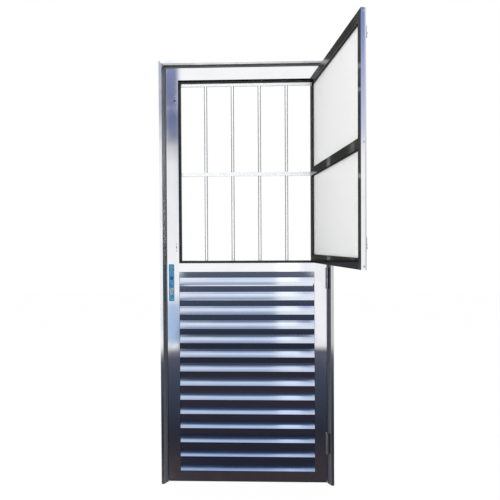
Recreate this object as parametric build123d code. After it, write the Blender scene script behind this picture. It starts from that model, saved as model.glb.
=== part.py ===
from build123d import *
import math
import os

# Axes: X to the right seen from the room, Y from the room towards the street, Z up.
# The origin is on the floor, at mid width, in the plane of the frame's room-side flange.

# Leaf and its place in the frame
leaf_width = 795.0
leaf_height = 2072.0
leaf_thickness = 32.0
floor_gap = 5.0
leaf_gap = 3.0

# Clearances shared by all pieces
contact_gap = 0.3
running_fit = 0.05
hole_fit = 0.2
overrun = 4.0

# Frame extrusion
frame_face = 29.5
flange_width = 14.0
bevel_run = 12.5
reveal_depth = 20.0
seal_space = 4.0
seal_width = 5.0
stop_lip = 9.0
stop_depth = 12.0
frame_wall = 1.6
corner_key_arm = 80.0
corner_key_depth = 20.0
fixing_hole_radius = 4.0
fixing_height_shares = (0.2, 0.8)

# Leaf extrusions
profile_wall = 1.5
stile_face = 60.0
top_rail_face = 60.0
mid_rail_face = 43.0
bottom_rail_face = 54.0
fin_length = 12.0
rail_lip = 9.0
shadow_groove_rise = 10.0
shadow_groove_width = 1.6
shadow_groove_depth = 0.6
screw_radius = 2.0
screw_head_radius = 4.0
screw_head_height = 2.5
screw_reach = 20.0

# Panel of interlocking planks
plank_count = 14
plank_pitch = 71.6
plank_depth = 16.4
plank_wall = 1.1
plank_fit = 0.3
plank_end_gap = 1.0
cove_height = 31.0
flat_height = 10.6
valley_depth = 3.8
tongue_height = 7.5
groove_leg = 7.0

# Grille in the hatch opening
grille_lap = 12.0
grille_wall = 1.5
bar_width = 16.0
bar_depth = 8.0
bar_wall = 1.2
bar_seat = 5.0
bar_shares = (-0.3, -0.1, 0.1, 0.3)
cross_bar_height = 19.0
cross_bar_share = 0.489
end_bar_height = 13.0
gasket_thickness = 2.6

# Main hinges
hinge_length = 96.0
hinge_knuckles = 5
hinge_barrel_radius = 6.0
hinge_pin_radius = 3.0
hinge_plate = 1.2
hinge_plate_width = 24.0
hinge_knuckle_gap = 0.4
hinge_cap_height = 3.0
hinge_height_shares = (0.095, 0.494, 0.905)

# Lock
lock_backset = 21.0
lock_case_depth = 34.0
lock_case_thickness = 15.0
lock_case_wall = 1.5
lock_case_margin = 10.0
face_plate_width = 20.0
face_plate_margin = 12.0
spindle_height = 1030.0
spindle_square = 8.0
follower_radius = 9.0
follower_arm = 15.7
follower_arm_width = 5.0
follower_swing = 45.0
latch_height = 16.0
latch_thickness = 11.0
latch_throw = 12.0
latch_notch_depth = 6.5
bolt_height = 22.0
bolt_thickness = 9.0
bolt_lift = 25.5
cylinder_drop = 58.5
cylinder_radius = 8.5
cylinder_tail_width = 10.0
cylinder_tail_drop = 19.5
cylinder_proud = 0.6
plug_radius = 5.0
cam_radius = 12.0
cam_width = 8.0
cam_hub_radius = 7.0
key_slot_width = 1.6
key_slot_height = 7.0
key_slot_depth = 8.0
lock_plate_width = 29.0
street_plate_width = 24.0
lock_plate_height = 188.0
lock_plate_thickness = 2.5
lock_plate_corner = 6.0
lock_plate_rise = 71.5
lock_film = 0.3
film_border = 1.0
spindle_hole_radius = 8.5
strike_thickness = 1.2
strike_width = 22.0
strike_margin = 18.0
bolt_clearance = 1.0

# Hatch sash
sash_gap = 3.0
sash_thickness = 22.0
sash_stile_face = 30.0
sash_rail_face = 37.0
sash_wall = 1.4
glass_groove_depth = 12.5
glass_groove_width = 9.0
glass_thickness = 4.0
glass_edge_gap = 1.5
pane_gasket_lip = 4.0
pane_gasket_hold = 7.0
sash_screw_head_radius = 3.5
sash_mid_share = 0.49
sash_rest_angle = 99.0
sash_port_radius = 3.5
sash_nose_radius = 7.5

# Sash hinges
sash_barrel_radius = 4.0
sash_pin_radius = 2.0
sash_hinge_length = 50.0
sash_hinge_knuckles = 3
sash_hinge_plate = 1.2
sash_plate_width = 16.0
sash_hinge_inset = 60.0
sash_cap_height = 2.0

# Sash catches and their keepers
catch_top_inset = 93.0
catch_bottom_inset = 77.0
catch_base_width = 14.0
catch_base_height = 34.0
catch_base_thickness = 1.5
catch_lever_width = 9.0
catch_lever_thickness = 2.5
catch_stud_radius = 2.5
catch_stud_cap = 1.2
catch_tab_height = 3.5
keeper_width = 19.0
keeper_plate_gap = 2.0
keeper_height = 50.0
keeper_plate = 1.5
keeper_hook_cover = 9.0
keeper_hook_height = 13.0

# Places worked out from the sizes above
frame_width = leaf_width + 2 * (leaf_gap + frame_face)
frame_height = floor_gap + leaf_height + leaf_gap + frame_face
stop_plane = reveal_depth + leaf_thickness + seal_space
frame_depth = stop_plane + stop_depth
leaf_front = reveal_depth
leaf_back = leaf_front + leaf_thickness
leaf_middle = leaf_front + leaf_thickness / 2
leaf_low = floor_gap
leaf_high = leaf_low + leaf_height
panel_low = leaf_low + bottom_rail_face
panel_high = panel_low + plank_count * plank_pitch
opening_low = panel_high + mid_rail_face
opening_high = leaf_high - top_rail_face
opening_width = leaf_width - 2 * stile_face
opening_height = opening_high - opening_low
opening_middle = (opening_high + opening_low) / 2


def rect(u0, u1, v0, v1):
    """Rectangle between two corners."""
    return Pos((u0 + u1) / 2, (v0 + v1) / 2) * Rectangle(u1 - u0, v1 - v0)


def block(x0, x1, y0, y1, z0, z1):
    """Box between two corners."""
    return Pos((x0 + x1) / 2, (y0 + y1) / 2, (z0 + z1) / 2) * Box(x1 - x0, y1 - y0, z1 - z0)


def upright(section, z0, z1):
    """Extrudes a section drawn in X and Y from one height to another."""
    return Pos(0, 0, z0) * extrude(section, z1 - z0, dir=(0, 0, 1))


def across(section, x0, x1):
    """Extrudes a section drawn in Y and Z from one X to another."""
    return Pos(x0, 0, 0) * (Plane.YZ * extrude(section, x1 - x0, dir=(0, 0, 1)))


def deep(section, y0, y1):
    """Extrudes a section drawn in X and Z from one depth to another."""
    return Pos(0, y0, 0) * (Rot(90, 0, 0) * extrude(section, y0 - y1, dir=(0, 0, 1)))


def rod_x(radius, x0, x1, y, z):
    """Round bar along X."""
    return Pos((x0 + x1) / 2, y, z) * (Rot(0, 90, 0) * Cylinder(radius, abs(x1 - x0)))


def rod_y(radius, y0, y1, x, z):
    """Round bar along Y."""
    return Pos(x, (y0 + y1) / 2, z) * (Rot(90, 0, 0) * Cylinder(radius, y1 - y0))


def save(name, *pieces):
    """Writes the solids of one node."""
    solids = [solid for piece in pieces for solid in piece.solids()]
    export_step(Compound(solids), f"parts/{name}.step")


# Plank section: front of the lip at Y zero, bottom of the lip at Z zero
cove_radius = (valley_depth**2 + cove_height**2) / (2 * valley_depth)
lip_setback = plank_wall + plank_fit
groove_height = tongue_height + plank_fit


def cove_depth(height):
    """Depth of the concave face at a height above the lip."""
    return valley_depth - cove_radius + math.sqrt(cove_radius**2 - (cove_height - height) ** 2)


tongue_front = cove_depth(groove_height) + lip_setback


def plank_section():
    """Hollow plank: sharp lip, concave face, sloping web and flat back, with tongue and groove."""
    outline = (
        TangentArc((valley_depth, cove_height), (0, 0), tangent=(0, -1)).edges()
        + Polyline(
            (valley_depth, cove_height),
            (valley_depth, cove_height + flat_height),
            (lip_setback, plank_pitch),
            (plank_depth, plank_pitch),
            (plank_depth, 0),
            (0, 0),
        ).edges()
    )
    skin = make_face(outline)
    core = skin & rect(0, plank_depth, groove_height, plank_pitch)
    core -= offset(core, -plank_wall, kind=Kind.INTERSECTION)
    foot = skin & rect(0, plank_depth, 0, groove_height)
    lip = foot - Pos(plank_wall, 0) * foot
    tongue_low = plank_pitch - plank_wall
    tongue = rect(tongue_front, tongue_front + plank_wall, tongue_low, plank_pitch + tongue_height)
    leg_front = tongue_front + lip_setback
    leg_low = groove_height + plank_wall - groove_leg
    leg = rect(leg_front, leg_front + plank_wall, leg_low, groove_height + plank_wall)
    back_leg = rect(plank_depth - plank_wall, plank_depth, plank_fit, groove_height + plank_wall)
    return core + lip + tongue + leg + back_leg


plank = plank_section()
channel_width = plank_depth + 2 * plank_fit
back_fin = profile_wall + channel_width
grille_front = leaf_front + back_fin + profile_wall
grille_depth = leaf_back - grille_front
grille_middle = grille_front + grille_depth / 2
plank_front = leaf_front + profile_wall + plank_fit
sash_back = grille_front - gasket_thickness - contact_gap
sash_room = sash_back - sash_thickness
sash_width = opening_width - 2 * sash_gap
sash_low = opening_low + sash_gap
sash_high = opening_high - sash_gap
sash_axis_x = sash_width / 2 + contact_gap + sash_barrel_radius
sash_axis_y = leaf_front - contact_gap - sash_barrel_radius
hinge_axis_x = leaf_width / 2 + leaf_gap / 2
hinge_axis_y = leaf_front - contact_gap - hinge_barrel_radius

# Places in the lock
lock_x = lock_backset - leaf_width / 2
cylinder_height = spindle_height - cylinder_drop
bolt_middle = cylinder_height + bolt_lift
latch_low = spindle_height + follower_arm + follower_arm_width / 2 - latch_notch_depth + contact_gap
latch_middle = latch_low + latch_height / 2
case_low = cylinder_height - cylinder_tail_drop - lock_case_margin
case_high = latch_low + latch_height + lock_case_margin / 2
case_front = leaf_middle - lock_case_thickness / 2
case_back = leaf_middle + lock_case_thickness / 2
case_left = profile_wall - leaf_width / 2
plate_top = spindle_height + lock_plate_rise
plate_middle = plate_top - lock_plate_height / 2


def frame_section():
    """Outline of the frame extrusion: distance in from its outer side, and depth."""
    return [
        (0, 0),
        (flange_width, 0),
        (flange_width + bevel_run, reveal_depth),
        (frame_face, reveal_depth),
        (frame_face, stop_plane),
        (frame_face + stop_lip, stop_plane),
        (frame_face + stop_lip, frame_depth),
        (0, frame_depth),
    ]


def hollow(points, wall):
    """Closed tube section of even wall."""
    skin = make_face(Polyline(*points, close=True))
    return skin - offset(skin, -wall, kind=Kind.INTERSECTION)


def mitre(side):
    """Plane of the mitre at one top corner of the frame, facing up and inwards."""
    return Plane(origin=(side * frame_width / 2, 0, frame_height), z_dir=(-side, 0, 1))


def jamb(side):
    """One upright of the frame, with its two wall-fixing holes."""
    points = [(side * (frame_width / 2 - u), v) for u, v in frame_section()]
    bar = upright(hollow(points, frame_wall), 0, frame_height)
    bar = split(bar, bisect_by=mitre(side), keep=Keep.BOTTOM)
    for share in fixing_height_shares:
        bar -= rod_x(
            fixing_hole_radius,
            side * (frame_width / 2 + overrun),
            side * (frame_width / 2 - frame_face - overrun),
            leaf_middle,
            share * frame_height,
        )
    return bar


def bolt_hole(height, thickness, middle, x0, x1):
    """Clear hole for a bolt that slides along X."""
    half_height = height / 2 + bolt_clearance
    half_thickness = thickness / 2 + bolt_clearance
    front = leaf_middle - half_thickness
    back = leaf_middle + half_thickness
    return block(x0, x1, front, back, middle - half_height, middle + half_height)


def frame():
    """Jambs, head, corner keys, seals and strike plate."""
    rebate = frame_face - frame_width / 2
    strike_low = bolt_middle - bolt_height / 2 - strike_margin
    strike_high = latch_middle + latch_height / 2 + strike_margin
    strike = block(
        rebate,
        rebate + strike_thickness,
        leaf_middle - strike_width / 2,
        leaf_middle + strike_width / 2,
        strike_low,
        strike_high,
    )
    lock_jamb = jamb(-1)
    for height, thickness, middle in (
        (latch_height, latch_thickness, latch_middle),
        (bolt_height, bolt_thickness, bolt_middle),
    ):
        ends = (rebate - frame_wall - overrun, rebate + strike_thickness + overrun)
        hole = bolt_hole(height, thickness, middle, *ends)
        lock_jamb -= hole
        strike -= hole
    save("frame_jamb_lock", lock_jamb)
    save("frame_jamb_hinge", jamb(1))
    save("strike_plate", strike)

    points = [(v, frame_height - u) for u, v in frame_section()]
    head = across(hollow(points, frame_wall), -frame_width / 2, frame_width / 2)
    for side in (-1, 1):
        head = split(head, bisect_by=mitre(side), keep=Keep.TOP)
    save("frame_head", head)

    inset = frame_wall + contact_gap
    corner_x = frame_width / 2 - inset
    corner_z = frame_height - inset
    arm = frame_face - 2 * inset
    key_front = leaf_middle - corner_key_depth / 2
    keys = []
    for side in (-1, 1):
        outer = side * corner_x
        outline = [
            (outer, corner_z),
            (outer - side * corner_key_arm, corner_z),
            (outer - side * corner_key_arm, corner_z - arm),
            (outer - side * arm, corner_z - arm),
            (outer - side * arm, corner_z - corner_key_arm),
            (outer, corner_z - corner_key_arm),
        ]
        keys.append(deep(make_face(Polyline(*outline, close=True)), key_front, key_front + corner_key_depth))
    save("frame_corner_keys", *keys)

    seal_edge = frame_face + (stop_lip - seal_width) / 2
    seal_front = leaf_back + contact_gap
    seal_x = frame_width / 2 - seal_edge
    seal_top = frame_height - seal_edge
    seal_low = seal_top - seal_width
    seals = [
        block(-seal_x, seal_width - seal_x, seal_front, stop_plane, 0, seal_top),
        block(seal_x - seal_width, seal_x, seal_front, stop_plane, 0, seal_top),
        block(seal_width - seal_x, seal_x - seal_width, seal_front, stop_plane, seal_low, seal_top),
    ]
    save("frame_seals", *seals)


def hinge_half(own, radius, pin_radius, length, knuckles, plate_low, plate, width):
    """Half of a butt hinge about Z: its own knuckles, and a plate along X from plate_low inwards."""
    start = radius + contact_gap
    pitch = length / knuckles
    half = block(start, start + width, plate_low, plate_low + plate, -length / 2, length / 2)
    for index in range(own, knuckles, 2):
        low = index * pitch - length / 2 + hinge_knuckle_gap / 2
        high = low + pitch - hinge_knuckle_gap
        half += Pos(0, 0, (low + high) / 2) * Cylinder(radius, high - low)
        half += block(0, start, plate_low, plate_low + plate, low, high)
    return half - Cylinder(pin_radius + running_fit, length + overrun)


def hinge_pin(radius, pin_radius, length, cap_height):
    """Pin with a flat cap on each end, clear of the knuckles."""
    pin = Cylinder(pin_radius, length + 2 * contact_gap)
    for end in (-1, 1):
        pin += Pos(0, 0, end * ((length + cap_height) / 2 + contact_gap)) * Cylinder(radius, cap_height)
    return pin


def main_hinges():
    """Three butt hinges in the gap between the leaf and the hinge jamb."""
    sizes = (hinge_barrel_radius, hinge_pin_radius, hinge_length, hinge_knuckles)
    inner = leaf_gap / 2 - hinge_plate
    halves = {"hinge_frame_plates": (0, -leaf_gap / 2), "hinge_leaf_plates": (1, inner)}
    places = [
        Pos(hinge_axis_x, hinge_axis_y, leaf_low + share * leaf_height) * Rot(0, 0, 90)
        for share in hinge_height_shares
    ]
    for name, (own, plate_low) in halves.items():
        half = hinge_half(own, *sizes, plate_low, hinge_plate, hinge_plate_width)
        save(name, *[place * half for place in places])
    pin = hinge_pin(hinge_barrel_radius, hinge_pin_radius, hinge_length, hinge_cap_height)
    save("hinge_pins", *[place * pin for place in places])


def stile_section(side):
    """Closed box with two fins that make the channel for the planks."""
    box_end = stile_face - fin_length
    outline = [
        (0, 0),
        (stile_face, 0),
        (stile_face, profile_wall),
        (box_end, profile_wall),
        (box_end, back_fin),
        (stile_face, back_fin),
        (stile_face, back_fin + profile_wall),
        (box_end, back_fin + profile_wall),
        (box_end, leaf_thickness),
        (0, leaf_thickness),
    ]
    points = [(side * (leaf_width / 2 - u), leaf_front + v) for u, v in outline]
    edge = side * (leaf_width / 2 - profile_wall)
    inside = side * (leaf_width / 2 - box_end + profile_wall)
    cavity = rect(min(edge, inside), max(edge, inside), leaf_front + profile_wall, leaf_back - profile_wall)
    return make_face(Polyline(*points, close=True)) - cavity


# Rails: screw ports, boxes and fins
access_radius = screw_head_radius + contact_gap
port_radius = access_radius + profile_wall / 2
port_depth = leaf_front + profile_wall + access_radius
rail_boxes = {
    "leaf_top_rail": (opening_high + fin_length, leaf_high),
    "leaf_mid_rail": (panel_high + rail_lip, opening_low - fin_length),
    "leaf_bottom_rail": (leaf_low, panel_low),
}
rail_fins = {
    "leaf_top_rail": [(opening_high, opening_high + fin_length)],
    "leaf_mid_rail": [(opening_low - fin_length, opening_low)],
    "leaf_bottom_rail": [],
}


def rail_section(low, high, fins):
    """Closed box with a screw port, and a pair of fins on each side that fins names."""
    section = rect(leaf_front, leaf_back, low, high)
    wall = profile_wall
    section -= rect(leaf_front + wall, leaf_back - wall, low + wall, high - wall)
    for fin_low, fin_high in fins:
        for front in (leaf_front, leaf_front + back_fin):
            section += rect(front, front + profile_wall, fin_low, fin_high)
    port = Pos(port_depth, (low + high) / 2)
    return section + port * (Circle(port_radius) - Circle(screw_radius + hole_fit))


def rails():
    """Three rails: the middle one has a lipped groove, the bottom one a tongue for the planks."""
    sections = {name: rail_section(*box, rail_fins[name]) for name, box in rail_boxes.items()}
    tongue = plank_front + tongue_front
    rib = tongue + plank_wall + plank_fit
    lip_top = panel_high + rail_lip
    sections["leaf_mid_rail"] += rect(leaf_front, leaf_front + profile_wall, panel_high, lip_top)
    sections["leaf_mid_rail"] += rect(rib, rib + profile_wall, lip_top - groove_leg, lip_top)
    groove_low = panel_high + shadow_groove_rise
    groove_high = groove_low + shadow_groove_width
    sections["leaf_mid_rail"] -= rect(leaf_front, leaf_front + shadow_groove_depth, groove_low, groove_high)
    sections["leaf_bottom_rail"] += rect(tongue, tongue + plank_wall, panel_low, panel_low + tongue_height)
    for name, section in sections.items():
        save(name, across(section, -opening_width / 2, opening_width / 2))


def screw_heights():
    """Heights of the screws that tie the rails to the stiles."""
    return [(low + high) / 2 for low, high in rail_boxes.values()]


def stiles():
    """Two stiles, the screws through their inner walls, and the lock's cut-outs."""
    clear_radius = screw_radius + hole_fit
    screws = []
    bodies = {}
    for side in (-1, 1):
        stile = upright(stile_section(side), leaf_low, leaf_high)
        edge = side * leaf_width / 2
        wall_inside = side * (leaf_width / 2 - stile_face + fin_length + profile_wall)
        rail_end = side * opening_width / 2
        outside = edge + side * overrun
        shank_end = rail_end - side * screw_reach
        head = wall_inside + side * screw_head_height
        for height in screw_heights():
            stile -= rod_x(access_radius, outside, edge - side * profile_wall, port_depth, height)
            stile -= rod_x(clear_radius, wall_inside + side * overrun, rail_end, port_depth, height)
            screw = rod_x(screw_radius, wall_inside, shank_end, port_depth, height)
            screws.append(screw + rod_x(screw_head_radius, wall_inside, head, port_depth, height))
        bodies[side] = stile
    save("leaf_stile_hinge", bodies[1])
    save("leaf_stile_lock", lock_cut_outs(bodies[-1]))
    save("leaf_screws", *screws)


def cylinder_profile(growth):
    """Round lock cylinder with its narrow tail, in X and Z, grown by a clearance."""
    tail_low = cylinder_height - cylinder_tail_drop
    half = cylinder_tail_width / 2 + growth
    round_end = Pos(lock_x, cylinder_height) * Circle(cylinder_radius + growth)
    tail = rect(lock_x - half, lock_x + half, tail_low, cylinder_height)
    return round_end + tail + Pos(lock_x, tail_low) * Circle(half)


def lock_cut_outs(stile):
    """Cuts the lock stile for the face plate, the spindle and the cylinder."""
    half = face_plate_width / 2
    edge = -leaf_width / 2
    stile -= block(
        edge - overrun,
        edge + profile_wall,
        leaf_middle - half,
        leaf_middle + half,
        case_low - face_plate_margin,
        case_high + face_plate_margin,
    )
    stile -= rod_y(spindle_hole_radius, leaf_front - overrun, leaf_back + overrun, lock_x, spindle_height)
    return stile - deep(cylinder_profile(hole_fit), leaf_front - overrun, leaf_back + overrun)


def planks():
    """Fourteen equal planks, numbered from the top, seated in the stiles' channels."""
    half = opening_width / 2 + fin_length - plank_end_gap
    for index in range(plank_count):
        low = panel_high - (index + 1) * plank_pitch
        save(f"plank_{index + 1:02d}", Pos(0, plank_front, low) * across(plank, -half, half))


def ring_side(width, height, radial, side):
    """Outline of one side of a rectangular ring, mitred at both ends, counted from the low side."""
    signs = ((-1, -1), (1, -1), (1, 1), (-1, 1))
    outer = [(u * width / 2, v * height / 2) for u, v in signs]
    inner = [(u * (width / 2 - radial), v * (height / 2 - radial)) for u, v in signs]
    following = (side + 1) % len(signs)
    return make_face(Polyline(outer[side], outer[following], inner[following], inner[side], close=True))


def grille():
    """Channel frame in the leaf's street-side rebate, oval bars, and the cross bars they pass through."""
    outer_w = opening_width + 2 * (fin_length - contact_gap)
    outer_h = opening_height + 2 * (fin_length - contact_gap)
    radial = fin_length - contact_gap + grille_lap
    inner_w = outer_w - 2 * radial
    inner_h = outer_h - 2 * radial
    web_w = inner_w + 2 * grille_wall
    web_h = inner_h + 2 * grille_wall
    centre = Pos(0, opening_middle)
    face = centre * (Rectangle(outer_w, outer_h) - Rectangle(inner_w, inner_h))
    ring = deep(face, grille_front, leaf_back)
    cavity = centre * (Rectangle(outer_w, outer_h) - Rectangle(web_w, web_h))
    ring -= deep(cavity, grille_front + grille_wall, leaf_back - grille_wall)
    bar_low = opening_middle - inner_h / 2 - bar_seat
    bar_high = opening_middle + inner_h / 2 + bar_seat
    outer_bar = SlotOverall(bar_width, bar_depth)
    inner_bar = SlotOverall(bar_width - 2 * bar_wall, bar_depth - 2 * bar_wall)
    clear_bar = SlotOverall(bar_width + 2 * hole_fit, bar_depth + 2 * hole_fit)
    cross_low = opening_low + cross_bar_share * opening_height - cross_bar_height / 2
    cross_high = cross_low + cross_bar_height
    cross_section = rect(grille_front, leaf_back, cross_low, cross_high) - rect(
        grille_front + bar_wall, leaf_back - bar_wall, cross_low + bar_wall, cross_high - bar_wall
    )
    cross_bar = across(cross_section, -inner_w / 2, inner_w / 2)
    end_high = opening_middle + inner_h / 2
    end_section = rect(grille_front, leaf_back, end_high - end_bar_height, end_high)
    end_section -= rect(grille_front + bar_wall, leaf_back, end_high - end_bar_height + bar_wall, end_high)
    end_bar = across(end_section, -inner_w / 2, inner_w / 2)
    bars = []
    for share in bar_shares:
        spot = Pos(share * opening_width, grille_middle)
        bars.append(upright(spot * (outer_bar - inner_bar), bar_low, bar_high))
        hole = upright(spot * clear_bar, bar_low - overrun, bar_high + overrun)
        cross_bar -= hole
        end_bar -= hole
        ring -= hole
    sides = [
        ring & deep(centre * ring_side(outer_w, outer_h, radial, side), grille_front, leaf_back)
        for side in range(4)
    ]
    save("grille_frame", *sides)
    save("grille_bars", *bars)
    save("grille_cross_bar", cross_bar, end_bar)
    face = Rectangle(opening_width - 2 * contact_gap, opening_height - 2 * contact_gap)
    hole = Rectangle(inner_w, inner_h)
    save("opening_gasket", deep(centre * (face - hole), grille_front - gasket_thickness, grille_front))


def lock():
    """Mortise lock: case, plates and cylinder, and the bolts with the follower and plug that drive them."""
    edge = -leaf_width / 2
    wall = lock_case_wall
    case_right = case_left + lock_case_depth
    case = block(case_left, case_right, case_front, case_back, case_low, case_high)
    case -= block(
        case_left + wall,
        case_right - wall,
        case_front + wall,
        case_back - wall,
        case_low + wall,
        case_high - wall,
    )
    half = face_plate_width / 2 - contact_gap
    plate_low = case_low - face_plate_margin + contact_gap
    plate_high = case_high + face_plate_margin - contact_gap
    face_plate = block(edge, case_left, leaf_middle - half, leaf_middle + half, plate_low, plate_high)
    for height, thickness, middle in (
        (latch_height, latch_thickness, latch_middle),
        (bolt_height, bolt_thickness, bolt_middle),
    ):
        half_height = height / 2 + contact_gap
        half_thickness = thickness / 2 + contact_gap
        hole = block(
            edge - overrun,
            case_left + wall + contact_gap,
            leaf_middle - half_thickness,
            leaf_middle + half_thickness,
            middle - half_height,
            middle + half_height,
        )
        case -= hole
        face_plate -= hole
    follower_hole = follower_radius - wall
    case -= rod_y(follower_hole, case_front - overrun, case_back + overrun, lock_x, spindle_height)
    case -= deep(cylinder_profile(hole_fit), case_front - overrun, case_back + overrun)
    save("lock_case", case)
    save("lock_face_plate", face_plate)

    bolt_left = edge + contact_gap
    bolt_right = case_right - wall - contact_gap
    latch = block(
        bolt_left,
        bolt_right,
        leaf_middle - latch_thickness / 2,
        leaf_middle + latch_thickness / 2,
        latch_low,
        latch_low + latch_height,
    )
    latch -= latch_slant(bolt_left)
    swing = math.radians(follower_swing / 2)
    tip_x = lock_x + follower_arm * math.sin(swing)
    tip_z = spindle_height + follower_arm * math.cos(swing)
    notch_half = follower_arm_width / 2 + 2 * bolt_clearance
    latch -= block(
        tip_x - notch_half,
        tip_x + notch_half,
        leaf_middle - latch_thickness / 2 - overrun,
        leaf_middle + latch_thickness / 2 + overrun,
        latch_low - overrun,
        latch_low + latch_notch_depth,
    )
    save("latch_bolt", latch)
    bolt = block(
        bolt_left,
        bolt_right,
        leaf_middle - bolt_thickness / 2,
        leaf_middle + bolt_thickness / 2,
        bolt_middle - bolt_height / 2,
        bolt_middle + bolt_height / 2,
    )
    save("dead_bolt", bolt)

    hub_half = lock_case_thickness / 2 - wall - contact_gap
    boss_radius = follower_hole - running_fit
    boss_half = lock_case_thickness / 2
    follower = rod_y(follower_radius, leaf_middle - hub_half, leaf_middle + hub_half, lock_x, spindle_height)
    follower += rod_y(boss_radius, leaf_middle - boss_half, leaf_middle + boss_half, lock_x, spindle_height)
    arm = rect(-follower_arm_width / 2, follower_arm_width / 2, 0, follower_arm)
    arm += Pos(0, follower_arm) * Circle(follower_arm_width / 2)
    arm = Pos(lock_x, spindle_height) * (Rot(0, 0, -follower_swing / 2) * arm)
    follower += deep(arm, leaf_middle - hub_half, leaf_middle + hub_half)
    square = Pos(lock_x, spindle_height) * Rectangle(spindle_square, spindle_square)
    save("spindle_follower", follower - deep(square, case_front - overrun, case_back + overrun))

    barrel_front = leaf_front - lock_plate_thickness - cylinder_proud
    barrel_back = leaf_back + lock_plate_thickness + cylinder_proud
    barrel = deep(cylinder_profile(0), barrel_front, barrel_back)
    cam_slot_half = cam_width / 2 + contact_gap
    slot_low = cylinder_height - cam_radius - contact_gap
    barrel -= block(
        lock_x - cam_radius,
        lock_x + cam_radius,
        leaf_middle - cam_slot_half,
        leaf_middle + cam_slot_half,
        slot_low,
        cylinder_height + cam_radius,
    )
    bore_radius = plug_radius + running_fit
    barrel -= rod_y(bore_radius, barrel_front - overrun, barrel_back + overrun, lock_x, cylinder_height)
    save("lock_cylinder", barrel)
    plug = rod_y(plug_radius, barrel_front, barrel_back, lock_x, cylinder_height)
    cam_front = leaf_middle - cam_width / 2
    cam_back = leaf_middle + cam_width / 2
    plug += rod_y(cam_hub_radius, cam_front, cam_back, lock_x, cylinder_height)
    finger_low = cylinder_height - cam_radius + hole_fit
    finger = rect(lock_x - plug_radius / 2, lock_x + plug_radius / 2, finger_low, cylinder_height)
    plug += deep(finger, cam_front, cam_back)
    for face, way in ((barrel_front, 1), (barrel_back, -1)):
        slot = Pos(lock_x, cylinder_height) * Rectangle(key_slot_width, key_slot_height)
        ends = sorted((face - way * overrun, face + way * key_slot_depth))
        plug -= deep(slot, *ends)
    save("cylinder_plug", plug)

    holes = Pos(lock_x, spindle_height) * Circle(spindle_hole_radius) + cylinder_profile(hole_fit)
    for name, width, front in (
        ("lock_plate_room", lock_plate_width, leaf_front - lock_plate_thickness),
        ("lock_plate_street", street_plate_width, leaf_back),
    ):
        plate = Pos(lock_x, plate_middle) * RectangleRounded(width, lock_plate_height, lock_plate_corner)
        save(name, deep(plate - holes, front, front + lock_plate_thickness))
    film_width = lock_plate_width - 2 * film_border
    film_height = lock_plate_height - 2 * film_border
    film = RectangleRounded(film_width, film_height, lock_plate_corner - film_border)
    film = Pos(lock_x, plate_middle) * film
    film -= Pos(lock_x, spindle_height) * Circle(spindle_hole_radius + film_border)
    film -= cylinder_profile(film_border)
    film_back = leaf_front - lock_plate_thickness
    save("lock_plate_film", deep(film, film_back - lock_film, film_back))


def latch_slant(bolt_left):
    """Slanted face on the latch's nose, on the street side where it meets the strike."""
    half = latch_thickness / 2
    points = [
        (bolt_left - overrun, leaf_middle - half + bolt_clearance),
        (bolt_left, leaf_middle - half + bolt_clearance),
        (bolt_left + latch_throw - bolt_clearance, leaf_middle + half),
        (bolt_left + latch_throw - bolt_clearance, leaf_middle + half + overrun),
        (bolt_left - overrun, leaf_middle + half + overrun),
    ]
    return upright(
        make_face(Polyline(*points, close=True)), latch_low - overrun, latch_low + latch_height + overrun
    )


def opened(piece):
    """Turns a piece of the sash, drawn closed, to the angle at which it stands open."""
    return piece.rotate(Axis((sash_axis_x, sash_axis_y, 0), (0, 0, 1)), sash_rest_angle)


def sash_section(face, grooves):
    """Chambered sash extrusion: distance in from its outer edge, and depth from its room face."""
    low = glass_groove_depth if grooves == 2 else 0
    high = face - glass_groove_depth
    cheek = (sash_thickness - glass_groove_width) / 2
    section = rect(0, face, 0, sash_thickness)
    section -= rect(low + sash_wall, high - sash_wall, sash_wall, sash_thickness - sash_wall)
    lips = [(high, face, high, face - sash_wall)]
    if grooves == 2:
        lips.append((0, low, sash_wall, low))
    for groove_low, groove_high, cell_low, cell_high in lips:
        section -= rect(groove_low, groove_high, cheek, sash_thickness - cheek)
        section -= rect(cell_low, cell_high, sash_wall, cheek - sash_wall)
        section -= rect(cell_low, cell_high, sash_thickness - cheek + sash_wall, sash_thickness - sash_wall)
    return section


sash_mid_low = sash_low + sash_mid_share * (sash_high - sash_low) - sash_rail_face / 2
glass_middle = sash_room + sash_thickness / 2
sash_rails = {
    "sash_top_rail": (sash_high, -1, 1),
    "sash_mid_rail": (sash_mid_low, 1, 2),
    "sash_bottom_rail": (sash_low, 1, 1),
}


def sash_rail_ports():
    """Height of the screw in each rail, at the middle of its main chamber."""
    heights = []
    for edge, way, grooves in sash_rails.values():
        rise = sash_rail_face / 2 if grooves == 2 else (sash_rail_face - glass_groove_depth) / 2
        heights.append(edge + way * rise)
    return heights


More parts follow.
